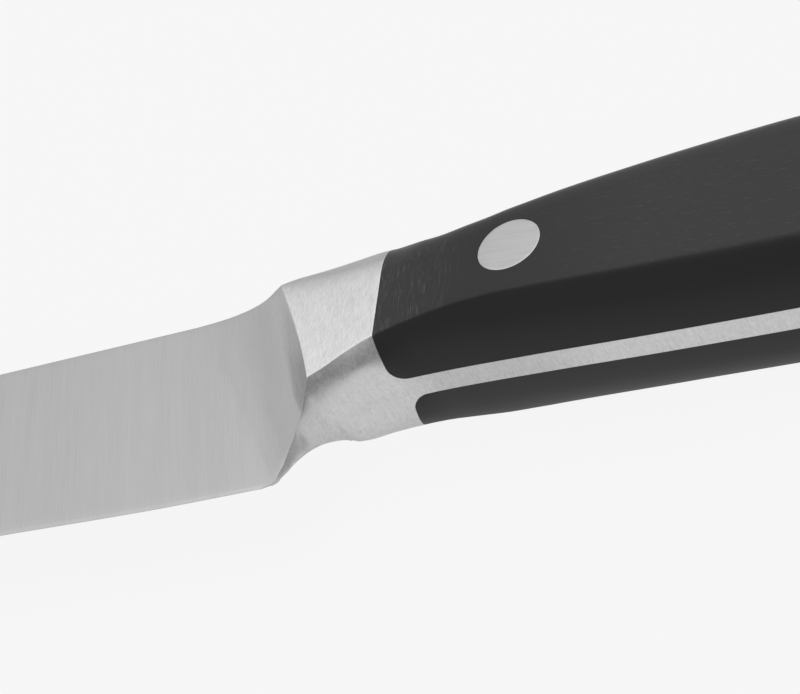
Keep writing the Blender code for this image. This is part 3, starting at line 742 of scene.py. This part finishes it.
# belt lines are too fine to show at 0.05 mm, and are drawn 0.22 mm apart
satinBlade = dict(
    dark="#b7b7b7", light="#c3c3c3", paintedShade="#d6d6d6", smooth=0.26, rough=0.30, contrast=0.28, depth=0.0012,
    lineSpacing=0.22, lineLength=16.0, bandSpacing=2.6, bandLength=60.0, lean=-13.0, lineShare=0.5,
    footSpan=(-0.80, -1.05), brokenBy=-0.5)


def satinBladeSteel():
    # stainless steel, ground across the blade on a fine belt: a soft grey with faint cross lines, with
    # painted shade where the foot of the sweep faces the tip, its edge broken by the lines
    material = newMaterial("satin ground stainless steel", metallic=1.0)
    tree = material.node_tree
    look = satinBlade
    lines = streaks(tree, look["lineSpacing"], look["lineLength"], look["lean"])
    bands = streaks(tree, look["bandSpacing"], look["bandLength"], look["lean"])
    towardsTip = addNode(tree, "ShaderNodeMath", {0: lines, 1: look["brokenBy"], 2: facing(tree, "X")},
                         operation="MULTIPLY_ADD")
    paintedSweepShade = addNode(tree, "ShaderNodeMapRange",
                        {0: towardsTip, 1: look["footSpan"][0], 2: look["footSpan"][1]})
    shade = together(tree, lines, bands, look["lineShare"])
    finishFromPattern(material, look, shade, lines, paintedSweepShade)
    return material


# brush marks are too fine to show at 0.05 mm, and are drawn 0.10 and 0.12 mm wide
brushedBolster = dict(
    dark="#d9d9d9", light="#fcfcfc", paintedShade="#d9d9d9", smooth=0.42, rough=0.54, contrast=0.15, depth=0.0035,
    lineSpacing=0.12, lineLength=1.1, lean=5.0, crossSpacing=0.10, crossLength=0.7, crossLean=-9.0,
    lineShare=0.6, blotch=1.1, scratchShare=0.88, topPerMm=0.01, topSpan=(-0.08, 0.30))


def brushedBolsterSteel():
    # the same steel brushed by hand: short marks that cross at a slight angle and catch the light, with
    # painted shade where it turns up over the top, the more so the higher it lies
    material = newMaterial("brushed stainless steel", metallic=1.0)
    tree = material.node_tree
    look = brushedBolster
    lines = streaks(tree, look["lineSpacing"], look["lineLength"], look["lean"])
    cross = streaks(tree, look["crossSpacing"], look["crossLength"], look["crossLean"])
    scratches = together(tree, lines, cross, look["lineShare"])
    blotches = streaks(tree, look["blotch"], 2 * look["blotch"])
    upwards = addNode(tree, "ShaderNodeMath",
                      {0: placeAlong(tree, "Y"), 1: look["topPerMm"] / mm, 2: facing(tree, "Y")},
                      operation="MULTIPLY_ADD")
    start, end = (planOrigin.y * look["topPerMm"] / mm + value for value in look["topSpan"])
    top = addNode(tree, "ShaderNodeMapRange", {0: upwards, 1: start, 2: end})
    shade = together(tree, scratches, blotches, look["scratchShare"])
    finishFromPattern(material, look, shade, scratches, top)
    return material


# belt lines are too fine to show at 0.05 mm, and are drawn 0.2 mm apart; mottle and marks are sized as
# listed
rubbedTang = dict(
    dark="#cecece", light="#e9e9e9", paintedShade="#ececec", smooth=0.34, rough=0.44, contrast=0.20, depth=0.003,
    lineSpacing=0.2, lineLength=2.4, lineShare=0.4, mottle=0.45, mottleLength=0.63,
    scoreSpacing=0.16, scoreLength=1.8, scoreSpan=(0.60, 0.66), scoreShare=0.30,
    bellyMiddle=-3.5, bellyReach=(3.5, 8.5), frontOfTang=(16.0, 23.0), restOfTang=0.2)


def rubbedTangSteel():
    # belly and tang, rubbed round the curve on a soft belt: finely mottled, with short marks across; painted
    # light leaves the middle of the belly lightest, where it reflects the pale table, and the colour is a
    # little darker round it and at the front of the tang
    material = newMaterial("rubbed stainless steel", metallic=1.0)
    tree = material.node_tree
    look = rubbedTang
    lines = streaks(tree, look["lineSpacing"], look["lineLength"], along="z")
    mottle = streaks(tree, look["mottle"], look["mottleLength"])
    score = streaks(tree, look["scoreSpacing"], look["scoreLength"], along="z")
    low, high = look["scoreSpan"]
    scored = addNode(tree, "ShaderNodeMapRange",
                     {0: score, 1: low, 2: high, 3: 0.0, 4: -look["scoreShare"]})
    shade = addNode(tree, "ShaderNodeMath", {0: together(tree, lines, mottle, look["lineShare"]), 1: scored})
    x = placeAlong(tree, "X")
    start, end = (planOrigin.x + reach * mm for reach in look["frontOfTang"])
    onTang = addNode(tree, "ShaderNodeMapRange", {0: x, 1: start, 2: end, 3: 1.0, 4: look["restOfTang"]})
    middle = planOrigin.x + look["bellyMiddle"] * mm
    fromBelly = addNode(tree, "ShaderNodeMath", {0: x, 1: middle}, operation="SUBTRACT")
    distance = addNode(tree, "ShaderNodeMath", {0: fromBelly}, operation="ABSOLUTE")
    near, far = (reach * mm for reach in look["bellyReach"])
    darkerOffBellyMiddle = addNode(tree, "ShaderNodeMapRange", {0: distance, 1: near, 2: far, 3: 0.0, 4: onTang})
    finishFromPattern(material, look, shade, shade, darkerOffBellyMiddle)
    return material


# grinding lines are too fine to show at 0.05 mm, and are drawn 0.3 mm apart
flushRivet = dict(dark="#bcbcbc", light="#c6c6c6", smooth=0.28, rough=0.36, contrast=0.24, depth=0.0012,
                  lineSpacing=0.3, lineLength=5.0, lean=8.0)


def flushRivetSteel():
    # steel rivet ground flush along the handle: faint lines lengthways
    material = newMaterial("flush ground rivet steel", metallic=1.0)
    look = flushRivet
    lines = streaks(material.node_tree, look["lineSpacing"], look["lineLength"], look["lean"], "x")
    finishFromPattern(material, look, lines, lines)
    return material


# the mould's grain and the scratches are too fine to show at 0.05 mm, and are drawn 0.12 to 0.16 mm wide
blackPlastic = dict(
    dark="#2b2b2b", light="#6c6c6c", paintedShade="#b6b6b6", smooth=0.40, rough=0.50, contrast=0.5, depth=0.002,
    grain=0.12, grainShare=0.4, scratchSpacing=0.12, scratchLength=2.4, scratchLean=-6.0,
    scratchSpan=(0.53, 0.70), scratchedTo=(5.0, 11.0),
    patch=1.3, patchSpan=(0.42, 0.60), patchShare=(0.30, 1.4),
    rubSpacing=0.16, rubLength=1.1, rubLean=10.0, rubSpan=(0.58, 0.72), rubShare=0.18,
    sideSpan=(0.6, 0.9), darkTo=(12.0, 30.0), ior=1.48, sheen=0.30)


def buffedBlackPlastic():
    # black POM, moulded and buffed: satin, with painted shade on its sides near the bolster, and fine pale
    # scratches across it there, in patches, and faint rub marks along the sides
    material = newMaterial("buffed black POM")
    tree = material.node_tree
    look = blackPlastic
    x = placeAlong(tree, "X")
    flatSide = addNode(tree, "ShaderNodeMath", {0: facing(tree, "Z")}, operation="ABSOLUTE")
    side = {0: flatSide, 1: look["sideSpan"][0], 2: look["sideSpan"][1]}
    start, end = (planOrigin.x + reach * mm for reach in look["scratchedTo"])
    nearFront = addNode(tree, "ShaderNodeMapRange", {0: x, 1: start, 2: end, 3: 1.0, 4: 0.0})
    onSide = addNode(tree, "ShaderNodeMapRange", {**side, 4: nearFront})
    across = streaks(tree, look["scratchSpacing"], look["scratchLength"], look["scratchLean"])
    scratched = addNode(tree, "ShaderNodeMapRange",
                        {0: across, 1: look["scratchSpan"][0], 2: look["scratchSpan"][1], 3: 0.0, 4: onSide})
    patches = addNode(tree, "ShaderNodeMapRange",
                      {0: streaks(tree, look["patch"], 2 * look["patch"]),
                       1: look["patchSpan"][0], 2: look["patchSpan"][1],
                       3: look["patchShare"][0], 4: look["patchShare"][1]})
    inPatches = addNode(tree, "ShaderNodeMath", {0: scratched, 1: patches}, operation="MULTIPLY")
    lengthways = streaks(tree, look["rubSpacing"], look["rubLength"], look["rubLean"], "x")
    rubShare = addNode(tree, "ShaderNodeMapRange", {**side, 4: look["rubShare"]})
    rubbed = addNode(tree, "ShaderNodeMapRange",
                     {0: lengthways, 1: look["rubSpan"][0], 2: look["rubSpan"][1], 3: 0.0, 4: rubShare})
    shade = addNode(tree, "ShaderNodeMath", {0: inPatches, 1: rubbed}, operation="MAXIMUM")
    start, end = (planOrigin.x + reach * mm for reach in look["darkTo"])
    towardsFront = addNode(tree, "ShaderNodeMapRange", {0: x, 1: start, 2: end, 3: 1.0, 4: 0.0})
    darker = addNode(tree, "ShaderNodeMapRange", {**side, 4: towardsFront})
    grain = streaks(tree, look["grain"], look["grain"])
    marks = together(tree, grain, across, look["grainShare"])
    shader = finishFromPattern(material, look, shade, marks, darker)
    shader.inputs["IOR"].default_value = look["ior"]
    shader.inputs["Specular IOR Level"].default_value = look["sheen"]
    return material


# Pieces in place

forging = makeForging((satinBladeSteel(), brushedBolsterSteel(), rubbedTangSteel()))
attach(forging, "root")
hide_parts("blade_bolster_and_tang")
print("forging done")

plastic = buffedBlackPlastic()
cutters = [rivetHoleCutter(number) for number in range(1, rivets["count"] + 1)]
for name, side, node in (("upperScale", 1, "upper_scale"), ("lowerScale", -1, "lower_scale")):
    scalePiece = makeScale(name, side, cutters, plastic)
    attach(scalePiece, "root")
    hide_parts(node)
for cutter in cutters:
    bpy.data.objects.remove(cutter)
print("scales done")

rivetSteel = flushRivetSteel()
for number in range(1, rivets["count"] + 1):
    for side, node in ((1, "rivet_%d_pin_half"), (-1, "rivet_%d_sleeve_half")):
        rivetPiece = makeRivetHalf(number, side, rivetSteel)
        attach(rivetPiece, "root")
        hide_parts(node % number)
print("rivets done")


# Floor, world and lamp: a pale table in a plain soft studio

# The floor's size is in metres, its gap and the pool round the knife in mm, and levels of light are
# shares of white. Each span says where a level comes in along a direction, from -1 to 1: leftSpan
# along X, zenithSpan and aboveSpan along Z, frontSpan and frontAboveSpan along frontSide.
studio = dict(
    floorColour="#f7f7f7", shadedColour="#6c6c6c", floorSize=40.0, floorGap=0.1,
    evenForCamera=0.965, evenForMetal=0.55,
    poolMiddle=(-20.0, 24.0), poolAcross=(72.0, 120.0), poolStretch=2.6,
    zenith=1.0, zenithSpan=(0.56, 0.65), above=0.74, aboveSpan=(0.0, 0.40),
    left=0.86, leftSpan=(-0.55, -0.68), horizon=0.55, frontSide=(0.55, -0.83, 0.0),
    front=0.16, frontSpan=(0.25, 0.60), frontAbove=0.35, frontAboveSpan=(-0.05, 0.40))


def makeFloor():
    # the table looks evenly pale, but what it gives to the knife is painted: a pool of light round it,
    # falling off into painted shade further out
    shape = bmesh.new()
    bmesh.ops.create_grid(shape, x_segments=1, y_segments=1, size=studio["floorSize"] / 2)
    floor = finishMesh("floor", shape)
    floor.location.z = -studio["floorGap"] * mm
    material = bpy.data.materials.new("pale table")
    material.use_nodes = True
    tree = material.node_tree
    tree.nodes.clear()
    place = addNode(tree, "ShaderNodeTexCoord").node.outputs["Object"]
    middle = planOrigin + Vector((*studio["poolMiddle"], 0.0)) * mm
    fromMiddle = addNode(tree, "ShaderNodeVectorMath", {0: place, 1: (middle.x, middle.y, 0.0)},
                         operation="SUBTRACT")
    squeezed = addNode(tree, "ShaderNodeVectorMath",
                       {0: fromMiddle, 1: (1 / studio["poolStretch"], 1.0, 1.0)}, operation="MULTIPLY")
    distance = addNode(tree, "ShaderNodeVectorMath", {0: squeezed}, operation="LENGTH")
    near, far = (reach * mm for reach in studio["poolAcross"])
    shade = addNode(tree, "ShaderNodeMapRange", {0: distance, 1: near, 2: far},
                    interpolation_type="SMOOTHSTEP")
    rays = addNode(tree, "ShaderNodeLightPath").node.outputs
    unseen = addNode(tree, "ShaderNodeMath", {0: 1.0, 1: rays["Is Camera Ray"]}, operation="SUBTRACT")
    shaded = addNode(tree, "ShaderNodeMath", {0: shade, 1: unseen}, operation="MULTIPLY")
    pale, dim = (linearColour(studio[key]) for key in ("floorColour", "shadedColour"))
    colour = addNode(tree, "ShaderNodeMix", {0: shaded, 6: pale, 7: dim}, data_type="RGBA")
    lit = addNode(tree, "ShaderNodeBsdfDiffuse", {"Color": colour})
    even = addNode(tree, "ShaderNodeEmission", {"Color": colour, "Strength": 1.0})
    seenInMetal = addNode(tree, "ShaderNodeMath",
                          {0: rays["Is Glossy Ray"], 1: rays["Is Transmission Ray"]}, operation="MAXIMUM")
    inMetal = addNode(tree, "ShaderNodeMath", {0: seenInMetal, 1: studio["evenForMetal"]},
                      operation="MULTIPLY")
    share = addNode(tree, "ShaderNodeMath",
                    {0: rays["Is Camera Ray"], 1: studio["evenForCamera"], 2: inMetal},
                    operation="MULTIPLY_ADD")
    mixed = addNode(tree, "ShaderNodeMixShader", {0: share, 1: lit, 2: even})
    addNode(tree, "ShaderNodeOutputMaterial", {0: mixed})
    floor.data.materials.append(material)


def makeWorld():
    # brightest overhead, dimmer round the horizon, lighter low on the left and dark to the front
    world = bpy.data.worlds.new("soft studio")
    bpy.context.scene.world = world
    world.use_nodes = True
    tree = world.node_tree
    tree.nodes.clear()
    direction = addNode(tree, "ShaderNodeTexCoord")
    axes = addNode(tree, "ShaderNodeSeparateXYZ", {0: direction}).node.outputs
    toFront = addNode(tree, "ShaderNodeVectorMath", {0: direction, 1: studio["frontSide"]},
                      operation="DOT_PRODUCT").node.outputs["Value"]
    start, end = studio["leftSpan"]
    toLeft = addNode(tree, "ShaderNodeMapRange",
                     {0: axes["X"], 1: start, 2: end, 3: studio["horizon"], 4: studio["left"]},
                     interpolation_type="SMOOTHSTEP")
    start, end = studio["frontSpan"]
    low = addNode(tree, "ShaderNodeMapRange",
                  {0: toFront, 1: start, 2: end, 3: toLeft, 4: studio["front"]},
                  interpolation_type="SMOOTHSTEP")
    start, end = studio["zenithSpan"]
    overhead = addNode(tree, "ShaderNodeMapRange",
                       {0: axes["Z"], 1: start, 2: end, 3: studio["above"], 4: studio["zenith"]},
                       interpolation_type="SMOOTHSTEP")
    start, end = studio["frontAboveSpan"]
    upper = addNode(tree, "ShaderNodeMapRange",
                    {0: toFront, 1: start, 2: end, 3: overhead, 4: studio["frontAbove"]},
                    interpolation_type="SMOOTHSTEP")
    start, end = studio["aboveSpan"]
    level = addNode(tree, "ShaderNodeMapRange", {0: axes["Z"], 1: start, 2: end, 3: low, 4: upper},
                    interpolation_type="SMOOTHSTEP")
    background = addNode(tree, "ShaderNodeBackground", {"Color": (1, 1, 1, 1), "Strength": level})
    addNode(tree, "ShaderNodeOutputWorld", {0: background})


# power in watts, size and distance in metres
softbox = dict(power=3.0, size=1.0, azimuth=160.0, elevation=80.0, distance=1.2)


def addLamp(name, power, size, azimuth, elevation, distance):
    # an area lamp in that direction from the bolster, facing it
    data = bpy.data.lights.new(name, "AREA")
    data.energy = power
    data.size = size
    lamp = bpy.data.objects.new(name, data)
    bpy.context.scene.collection.objects.link(lamp)
    a, e = math.radians(azimuth), math.radians(elevation)
    away = Vector((math.sin(a) * math.cos(e), -math.cos(a) * math.cos(e), math.sin(e)))
    lamp.location = planOrigin + away * distance
    lamp.rotation_euler = away.to_track_quat("Z", "Y").to_euler()


makeFloor()
makeWorld()
addLamp("overhead softbox", **softbox)
print("studio done")


# Camera: close over the bolster, rolled, on a long lens

view = dict(aim=(1.356, -5.728, 3.487), distance=275.1, azimuth=32.645, elevation=37.988, roll=-34.148,
            lens=120.0, sensorWidth=36.0, clipStart=0.01)


def makeCamera():
    data = bpy.data.cameras.new("camera")
    data.lens = view["lens"]
    data.sensor_width = view["sensorWidth"]
    data.clip_start = view["clipStart"]
    camera = bpy.data.objects.new("camera", data)
    bpy.context.scene.collection.objects.link(camera)
    a, e, r = (math.radians(view[key]) for key in ("azimuth", "elevation", "roll"))
    back = Vector((math.sin(a) * math.cos(e), -math.cos(a) * math.cos(e), math.sin(e)))
    level = Vector((math.cos(a), math.sin(a), 0.0))
    up = back.cross(level)
    right = level * math.cos(r) + up * math.sin(r)
    turned = Matrix((right, back.cross(right), back)).transposed()
    centre = planOrigin + (Vector(view["aim"]) + back * view["distance"]) * mm
    camera.matrix_world = Matrix.Translation(centre) @ turned.to_4x4()
    bpy.context.scene.camera = camera


makeCamera()
bpy.context.scene.view_settings.view_transform = "Standard"
